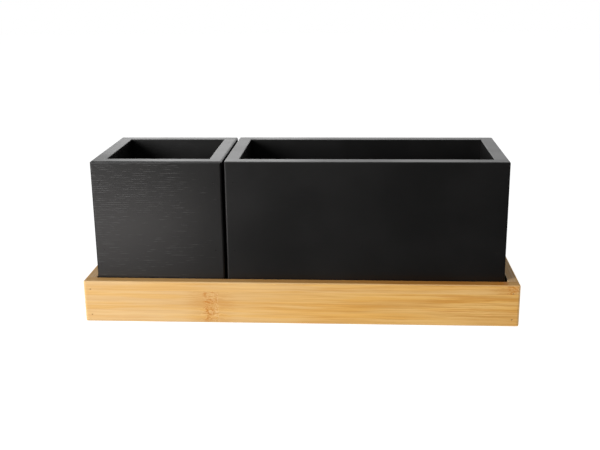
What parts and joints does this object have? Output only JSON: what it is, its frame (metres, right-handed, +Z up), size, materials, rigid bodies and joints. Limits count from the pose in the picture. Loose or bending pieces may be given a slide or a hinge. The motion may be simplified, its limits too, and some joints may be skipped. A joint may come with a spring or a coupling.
{
  "type": "tabletop caddy",
  "caption": "Tabletop caddy: a square and a rectangular open-topped black wooden box standing loose in a shallow bamboo tray.",
  "frame": {"origin": "centre of the tray's underside, on the surface that the caddy stands on", "axes": "+X along the tray's length towards the large box, +Y towards the back, +Z up"},
  "size_m": [0.3338, 0.119, 0.1255],
  "materials": {
    "bamboo": "laminated natural bamboo, clear satin lacquer",
    "black_painted_wood": "satin black paint over fine-grained wood",
    "brad_steel": "bare steel, dulled",
    "painted_brad": "steel painted over with the box's satin black"
  },
  "bodies": {
    "tray": {"tray_front_rail": "bamboo", "tray_back_rail": "bamboo", "tray_left_rail": "bamboo", "tray_right_rail": "bamboo", "tray_base_panel": "bamboo", "tray_brads": "brad_steel"},
    "small_box": {"small_box_front_wall": "black_painted_wood", "small_box_back_wall": "black_painted_wood", "small_box_left_wall": "black_painted_wood", "small_box_right_wall": "black_painted_wood", "small_box_base_panel": "black_painted_wood", "small_box_brads": "painted_brad"},
    "large_box": {"large_box_front_wall": "black_painted_wood", "large_box_back_wall": "black_painted_wood", "large_box_left_wall": "black_painted_wood", "large_box_right_wall": "black_painted_wood", "large_box_base_panel": "black_painted_wood", "large_box_brads": "painted_brad"}
  },
  "joints": [
    {"name": "small_box_lift", "type": "slide", "parent": "tray", "child": "small_box", "axis": [0, 0, 1], "range_m": [0, 0.125]},
    {"name": "large_box_lift", "type": "slide", "parent": "tray", "child": "large_box", "axis": [0, 0, 1], "range_m": [0, 0.125]}
  ]
}
